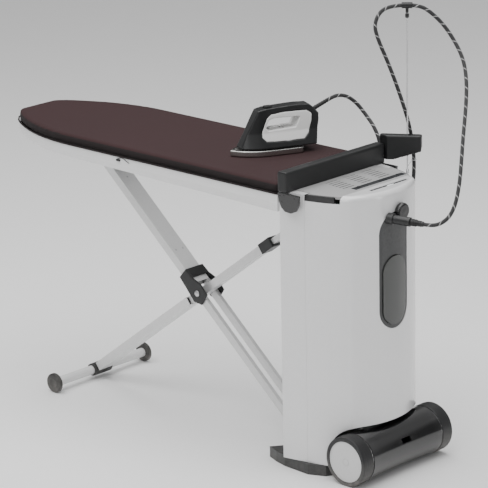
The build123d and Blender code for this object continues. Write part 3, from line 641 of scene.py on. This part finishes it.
def steam_hose():
    iron_path = route("hose_iron_route", HOSE_IRON)
    mesh = tube_mesh("hose_to_iron", iron_path, HOSE_RADIUS, 20)
    near = add_piece("hose_to_iron", mesh, None, "hose_braid")
    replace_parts(near, "hose_iron_run")
    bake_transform(near)
    station_path = route("hose_station_route", HOSE_STATION)
    mesh = tube_mesh("hose_to_station", station_path, HOSE_RADIUS, 20)
    far = add_piece("hose_to_station", mesh, None, "hose_braid")
    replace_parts(far, "hose_station_run")
    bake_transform(far)


def ribbed_boot(name, start, end, base, tip, ribs, body, slot):
    """A tapered strain relief with ribs round it."""
    start, end = Vector(start), Vector(end)
    reach = (end - start).length
    profile = [(0, base * 0.9)]
    steps = ribs * 6
    for i in range(steps + 1):
        t = i / steps
        radius = base + (tip - base) * t
        groove = 0.5 - 0.5 * math.cos(2 * math.pi * t * ribs)
        profile.append((reach * (0.01 + 0.98 * t), radius - groove * radius * 0.14))
    profile.append((reach, tip * 0.92))
    return add_piece(name, turned_mesh(name, start, end - start, profile, 32), body, slot)


# ------------------------------------------------------------------ padded cover
TAPER_START, TAPER_RADIUS, NOSE_RADIUS = -0.850, 0.580, 0.032
COVER_SWELL = 0.003


def board_edge(inset, z, steps=18):
    """The board's outline, drawn in by inset, from the heel's far corner round the nose and back."""
    low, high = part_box("padded_cover")
    half = high.y - inset
    heel, nose = high.x, low.x + inset
    radius = TAPER_RADIUS - inset
    reach = TAPER_START - (low.x + NOSE_RADIUS)
    far = [(heel - (heel - TAPER_START) * i / 24, half) for i in range(24)]
    for i in range(steps + 1):
        x = TAPER_START - reach * i / steps
        far.append((x, half - radius + math.sqrt(radius**2 - (TAPER_START - x) ** 2)))
    corner_y = far[-1][1]
    far.append((nose, corner_y - NOSE_RADIUS))
    near = [(x, -y) for x, y in reversed(far)]
    blunt = [(nose, corner_y - NOSE_RADIUS - (2 * (corner_y - NOSE_RADIUS)) * i / 8) for i in range(1, 8)]
    return [Vector((x, y, z)) for x, y in far + blunt + near]


def padded_cover():
    """Foam under a fitted cotton cover: the slab is swollen as cloth, then capped and smoothed; its sides
    take painted shade.
    """
    source = NODES["padded_cover"]
    cover = add_piece("ironing_cover", source.data.copy(), None, "cover_fabric")
    low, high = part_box("padded_cover")
    middle = (low + high) / 2
    smaller = Matrix.Diagonal((0.998, 0.995, 0.93, 1))
    shrink = Matrix.Translation(middle) @ smaller @ Matrix.Translation(-middle)
    cover.data.transform(shrink)
    remesh = cover.modifiers.new("remesh", "REMESH")
    remesh.mode = "VOXEL"
    remesh.voxel_size = 0.0075
    apply_modifiers(cover)
    rest = [v.co.copy() for v in cover.data.vertices]
    swell(cover, rest, COVER_SWELL)
    for vertex in cover.data.vertices:
        fullness = min(1.0, (vertex.co.z - low.z) / (high.z - low.z))
        vertex.co.z = min(vertex.co.z, high.z - 0.0002)
        if fullness < 0.2:
            vertex.co.z = max(vertex.co.z, low.z)
    smooth = cover.modifiers.new("smooth", "SMOOTH")
    smooth.iterations = 5
    subdivision = cover.modifiers.new("subdivision", "SUBSURF")
    subdivision.levels = subdivision.render_levels = 1
    apply_modifiers(cover)
    cover.data.materials.clear()
    cover.data.materials.append(FINISH["cover_fabric"])
    cover.data.materials.append(FINISH["cover_side_shade"])
    for polygon in cover.data.polygons:
        polygon.use_smooth = True
        # Faces turned sideways or downward take the darker cloth: painted shade on the cover's sides.
        shaded_side = abs(polygon.normal.z) < 0.55 or polygon.normal.z < 0
        polygon.material_index = 1 if shaded_side else 0
    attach(cover, "board")
    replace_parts(cover, "padded_cover")
    edge = board_edge(-0.0005, low.z + 0.004)
    # The hem wears the darker cloth too, as painted side shade.
    add_piece("cover_hem", tube_mesh("cover_hem", edge, 0.0022, 8), "board", "cover_fabric",
              material=FINISH["cover_side_shade"])


def swell(piece, rest, cap):
    """Blows the closed cloth up gently, then holds each point within cap of where it was."""
    scene = bpy.context.scene
    cloth = piece.modifiers.new("cloth", "CLOTH")
    settings = cloth.settings
    settings.quality = 4
    settings.mass = 0.3
    settings.tension_stiffness = settings.compression_stiffness = 20
    settings.bending_stiffness = 4
    settings.use_pressure = True
    settings.uniform_pressure_force = 4
    settings.effector_weights.gravity = 0
    cloth.collision_settings.use_collision = False
    for step in range(1, 13):
        scene.frame_set(step)
    apply_modifiers(piece)
    scene.frame_set(1)
    for vertex, home in zip(piece.data.vertices, rest):
        move = vertex.co - home
        if move.length > cap:
            vertex.co = home + move.normalized() * cap


def tray_clip():
    """The small black toggle of the cover's drawstring, on the near side."""
    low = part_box("padded_cover")[0]
    centre = Vector((-0.640, low.y - 0.001, low.z - 0.008))
    profile = [(-0.007, 0.0015), (-0.006, 0.0034), (0.006, 0.0034), (0.007, 0.0015)]
    add_piece("drawstring_toggle", turned_mesh("drawstring_toggle", centre, (1, 0, 0), profile, 20),
              "board", "rubber_black")
    string = []
    for i in range(5):
        string.append(centre + Vector((-0.004 + 0.012 * i, 0.001, 0.003 + 0.006 * math.sin(i * 1.1))))
    add_piece("drawstring", tube_mesh("drawstring", string, 0.0009, 8), "board", "rubber_black")


# ------------------------------------------------------------------ iron
IRON_TAIL = Vector((-0.225, 0.112, 0.8306))
IRON_TURN = math.radians(244.8)
IRON_ALONG = (math.cos(IRON_TURN), math.sin(IRON_TURN), 0)
IRON_ACROSS = (-math.sin(IRON_TURN), math.cos(IRON_TURN), 0)
DIAL_ALONG, DIAL_Z = 0.068, 0.055
GASKET_START, GASKET_RUN, GASKET_HALF, GASKET_Z = 0.004, 0.190, 0.0505, 0.0175


def iron_point(along, across, up):
    """A place on the iron, from its sole's back edge towards the nose."""
    return IRON_TAIL + Vector((
        along * math.cos(IRON_TURN) - across * math.sin(IRON_TURN),
        along * math.sin(IRON_TURN) + across * math.cos(IRON_TURN),
        up,
    ))


def gasket_half(along):
    """Half the gasket's width: straight sides, then closing towards the nose."""
    closing = max(0.0, along - 0.098) ** 2 / 0.24
    return max(GASKET_HALF - closing, 0.002)


def clear_button_well(shell):
    """Keeps the moulding out of the steam button's way down."""
    low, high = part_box("steam_button")
    middle = (low + high) / 2
    reach = max(high.x - low.x, high.y - low.y) / 2 + 0.0016
    floor = low.z - 0.0040
    for vertex in shell.data.vertices:
        away = math.hypot(vertex.co.x - middle.x, vertex.co.y - middle.y)
        if away < reach and vertex.co.z > floor:
            vertex.co.z = floor


def iron():
    shell = soften("iron_shell", "iron", "iron_black", 0.0017, 9)
    clear_button_well(shell)
    soften("iron_inner_loop", "iron", "iron_white", 0.0017, 6)
    soften("iron_soleplate", "iron", "sole_steel", 0.0016, 3)
    centre = iron_point(DIAL_ALONG, 0, DIAL_Z)
    profile = [(0, 0.018), (0.0008, 0.0205), (0.012, 0.0218), (0.0135, 0.0205), (0.014, 0.0180),
               (0.0134, 0.0150), (0.0134, 0.001)]
    mesh = turned_mesh("temperature_dial", centre, (0, 0, 1), profile, 144, 0.0007, 36)
    dial = add_piece("temperature_dial", mesh, "temperature_dial", "iron_white")
    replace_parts(dial, "iron_dial")
    crown = iron_point(DIAL_ALONG, 0, DIAL_Z + 0.0142)
    pointer = [crown + Vector((0.004 * i - 0.004, 0.014, 0)) for i in range(3)]
    add_piece("dial_pointer", tube_mesh("dial_pointer", pointer, 0.0009, 8), "temperature_dial", "iron_black")
    bezel = circle(iron_point(DIAL_ALONG, 0, DIAL_Z + 0.0122), IRON_ALONG, IRON_ACROSS, 0.0235, 48)
    add_ring("dial_bezel", bezel, 0.0016, "iron", "iron_black", sides=10)
    boot = ribbed_boot("iron_cord_boot", iron_point(-0.041, 0, 0.108), iron_point(-0.091, 0, 0.131),
                       0.0068, 0.0061, 7, "iron", "rubber_black")
    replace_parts(boot, "iron_cord_relief")
    reaches = [GASKET_START + i / 24 * GASKET_RUN for i in range(25)]
    seam = [iron_point(along, gasket_half(along), GASKET_Z) for along in reaches]
    seam += [iron_point(along, -gasket_half(along), GASKET_Z) for along in reversed(reaches)]
    add_piece("sole_gasket", tube_mesh("sole_gasket", seam, 0.0009, 8), "iron", "rubber_black")


# ------------------------------------------------------------------ station
def station_top():
    low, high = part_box("slotted_panel")
    # A dark grid under the slots: painted shade for the dark inside of the vents.
    mesh = bpy.data.meshes.new("vent_shade_grid")
    grid = bmesh.new()
    pitch, wire = 0.006, 0.0011
    x0, x1, y0, y1 = low.x + 0.012, 0.122, -0.100, 0.135
    for k in range(int((y1 - y0) / pitch)):
        y = y0 + k * pitch
        bar = bmesh.ops.create_cube(grid, size=1)["verts"]
        bmesh.ops.scale(grid, vec=(x1 - x0, wire, 0.001), verts=bar)
        bmesh.ops.translate(grid, vec=((x0 + x1) / 2, y, low.z - 0.0008), verts=bar)
    for k in range(int((x1 - x0) / pitch)):
        bar = bmesh.ops.create_cube(grid, size=1)["verts"]
        bmesh.ops.scale(grid, vec=(wire, y1 - y0, 0.001), verts=bar)
        bmesh.ops.translate(grid, vec=(x0 + k * pitch, (y0 + y1) / 2, low.z - 0.0018), verts=bar)
    grid.to_mesh(mesh)
    grid.free()
    add_piece("vent_shade_grid", mesh, "station", "guide_plastic", smooth=False)
    low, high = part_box("indicator_strip")
    middle, top = (low + high) / 2, high.z
    lamp = [Vector((middle.x, 0.034 - 0.0145 + 0.029 * i / 6, top - 0.0012)) for i in range(7)]
    radii = [0.0009, 0.0016, 0.0019, 0.0019, 0.0019, 0.0016, 0.0009]
    add_piece("indicator_lamp", tube_mesh("indicator_lamp", lamp, radii, 16), "station", "dark_display",
              material=LAMP)
    dot = (0.205, 0.118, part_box("front_cover")[1].z - 0.0045)
    dome("status_dot", dot, (0.2, 0.1, 1), 0.0022, 0.0007, "station", "guide_plastic")


def station_front():
    soften("carry_handle", "station", "black_plastic", 0.0022, 7)
    soften("hose_holder", "station", "black_plastic", 0.0020, 7)
    soften("ear_caps", "station", "gloss_black", 0.0013, 6)
    for side in (-1, 1):
        y = side * (abs(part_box("ear_caps")[0].y) - 0.0002)
        for x, z, radius in ((-0.001, 0.800, 0.0028), (0.014, 0.803, 0.0022), (0.052, 0.800, 0.0026),
                             (0.006, 0.784, 0.0018)):
            dome(f"cap_stud_{'n' if side < 0 else 'f'}_{int(1000 * (x + z))}", (x, y, z), (0, side, 0),
                 radius, 0.0016, "station", "gloss_black")
    low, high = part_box("hose_release_knob")
    centre = (low + high) / 2
    radius = (high.z - low.z) / 2
    profile = [(0, radius * 0.94), (0.0015, radius), (0.011, radius * 0.99), (0.0145, radius * 0.90),
               (0.0158, radius * 0.80), (0.0150, radius * 0.62), (0.0162, radius * 0.25), (0.0164, 0.001)]
    mesh = turned_mesh("release_knob", (low.x, centre.y, centre.z), (1, 0, 0), profile, 144, 0.0007, 30)
    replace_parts(add_piece("release_knob", mesh, "release_knob", "gloss_black"), "hose_release_knob")
    way = Vector((90, 27, -5)).normalized()
    root = Vector((0.238, -0.022, 0.738))
    side = way.orthogonal().normalized()
    over = way.cross(side)
    for index in range(7):
        reach = 0.0600 + index * 0.0048
        radius = 0.0094 if reach < 0.078 else 0.0079
        centre = root + way * reach
        name = f"plug_rib_{index + 1}"
        add_ring(name, circle(centre, side, over, radius, 32), 0.0010, "station", "rubber_black")


def stadium_ring(x, half, z0, z1, steps=20):
    """An upright oval line seen from the front."""
    top, bottom = z1 - half, z0 + half
    points = [Vector((x, half * math.cos(a), top + half * math.sin(a)))
              for a in (math.pi * k / steps for k in range(steps + 1))]
    points += [Vector((x, -half * math.cos(a), bottom - half * math.sin(a)))
               for a in (math.pi * k / steps for k in range(steps + 1))]
    return points


def water_tank():
    low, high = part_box("water_tank")
    water_top = low.z + 0.115
    half = (high.y - low.y) / 2 - 0.0035
    x0, x1 = low.x + 0.004, 0.2255
    outline = [p for p in stadium_ring(0, half, low.z + 0.004, high.z - 0.004) if p.z < water_top]
    outline += [Vector((0, -half, water_top)), Vector((0, half, water_top))]
    outline.sort(key=lambda p: math.atan2(p.z - low.z - 0.06, p.y))
    verts, faces = [], []
    for x in (x0, x1):
        verts += [Vector((x, p.y, p.z)) for p in outline]
    count = len(outline)
    for k in range(count):
        after = (k + 1) % count
        faces.append((k, after, count + after, count + k))
    faces += [tuple(range(count - 1, -1, -1)), tuple(range(count, 2 * count))]
    water = mesh_of("tank_water", verts, faces)
    add_piece("tank_water", water, "tank", "tank_tint", smooth=False, material=WATER)
    grip = stadium_ring(0.2262, half * 0.62, low.z + 0.020, high.z - 0.030)
    add_ring("tank_inner_rib", grip, 0.0016, "tank", "tank_tint")


def rolling_gear():
    profile = [(-0.0012, 0.0120), (0.0006, 0.0114), (0.0012, 0.0085), (-0.0006, 0.0050), (-0.0010, 0.0005)]
    for word, side in (("left", -1), ("right", 1)):
        body = f"wheel_{word}"
        low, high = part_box(f"tyre_{word}")
        middle = (low + high) / 2
        radius = (high.z - low.z) / 2
        face, inner = (high.y, low.y) if side > 0 else (low.y, high.y)
        place = (middle.x, face - side * 0.0022, middle.z)
        hub = turned_mesh(f"hub_{word}", place, (0, side, 0), profile, 40)
        add_piece(f"hub_{word}", hub, body, "disc_grey")
        trim = circle((middle.x, face - side * 0.0024, middle.z), AXIS_X, AXIS_Z, 0.0595, 72)
        add_ring(f"disc_trim_{word}", trim, 0.0011, body, "rubber_black")
        rim = circle((middle.x, inner - side * 0.0008, middle.z), AXIS_X, AXIS_Z, radius - 0.004, 72)
        add_ring(f"rim_ring_{word}", rim, 0.0013, body, "bright_steel")
        for groove in range(3):
            y = middle.y + (groove - 1) * 0.009
            tread = circle((middle.x, y, middle.z), AXIS_X, AXIS_Z, radius - 0.0004, 96)
            add_ring(f"tread_{word}_{groove + 1}", tread, 0.0006, body, "tyre_black", sides=6)


def mast_fittings():
    low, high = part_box("mast")
    x, y = (low.x + high.x) / 2, (low.y + high.y) / 2
    coil = []
    for i in range(7 * 16 + 1):
        a = 2 * math.pi * i / 16
        rise = low.z + 0.004 + 0.0017 * i / 16
        coil.append(Vector((x + 0.0034 * math.cos(a), y + 0.0034 * math.sin(a), rise)))
    add_piece("mast_spring", tube_mesh("mast_spring", coil, 0.0007, 8), "station", "bright_steel")
    link = [Vector((x, y, low.z + 0.018)), Vector((x - 0.004, y + 0.010, low.z + 0.026)),
            Vector((x - 0.006, y + 0.020, low.z + 0.030)), Vector((x - 0.006, y + 0.024, low.z + 0.034))]
    add_piece("hose_link", tube_mesh("hose_link", link, 0.0009, 8), "station", "bright_steel")
    loop = circle((0.0660, 0.2790, low.z + 0.036), AXIS_X, AXIS_Y, 0.0066, 32)
    add_ring("hose_ring", loop, 0.0011, "station", "bright_steel")
    soften("mast_clip", "station", "black_plastic", 0.0009, 2)
    collar = [(0, 0.0046), (0.001, 0.0056), (0.010, 0.0056), (0.012, 0.0042)]
    add_piece("mast_collar", turned_mesh("mast_collar", (x, y, high.z - 0.026), (0, 0, 1), collar, 32),
              "station", "black_plastic")


# ------------------------------------------------------------------ legs
def legs():
    soften("pivot_cover", "leg_a", "black_plastic", 0.0018, 8)
    soften("foot_joint", "leg_b", "black_plastic", 0.0015, 5)
    soften("tube_collar", "leg_b", "black_plastic", 0.0012, 4)
    low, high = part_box("crossing_pin")
    centre = (low + high) / 2
    for side, word in ((-1, "near"), (1, "far")):
        face = Vector((centre.x, side * 0.0370, centre.z))
        dome(f"pivot_rivet_{word}", face, (0, side, 0), 0.0095, 0.0035, "leg_a", "pin_steel")
    slope = Vector((-0.7552, 0, 0.6555))
    start = Vector((centre.x, 0, centre.z))
    for index, (reach, across) in enumerate(((0.150, -0.014), (0.150, 0.014), (0.430, 0.0))):
        place = start + slope * reach + Vector((0.6555, 0, 0.7552)) * 0.0128
        place.y = across
        dome(f"leg_rivet_{index + 1}", place, (0.6555, 0, 0.7552), 0.0034, 0.0012, "leg_a", "pin_steel")
    low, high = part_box("feet")
    middle = (low + high) / 2
    profile = [(0, 0.0180), (0.0008, 0.0172), (0.0010, 0.0150), (0.0004, 0.0140), (0.0004, 0.0005)]
    for side, word in ((-1, "near"), (1, "far")):
        face = high.y if side > 0 else low.y
        place = (middle.x, face - side * 0.0003, middle.z)
        mesh = turned_mesh(f"foot_cap_{word}", place, (0, side, 0), profile, 48)
        add_piece(f"foot_cap_{word}", mesh, "leg_b", "rubber_black")


look_camera()
studio()
coat_cad_nodes()
steam_hose()
padded_cover()
tray_clip()
iron()
station_top()
station_front()
water_tank()
rolling_gear()
mast_fittings()
legs()
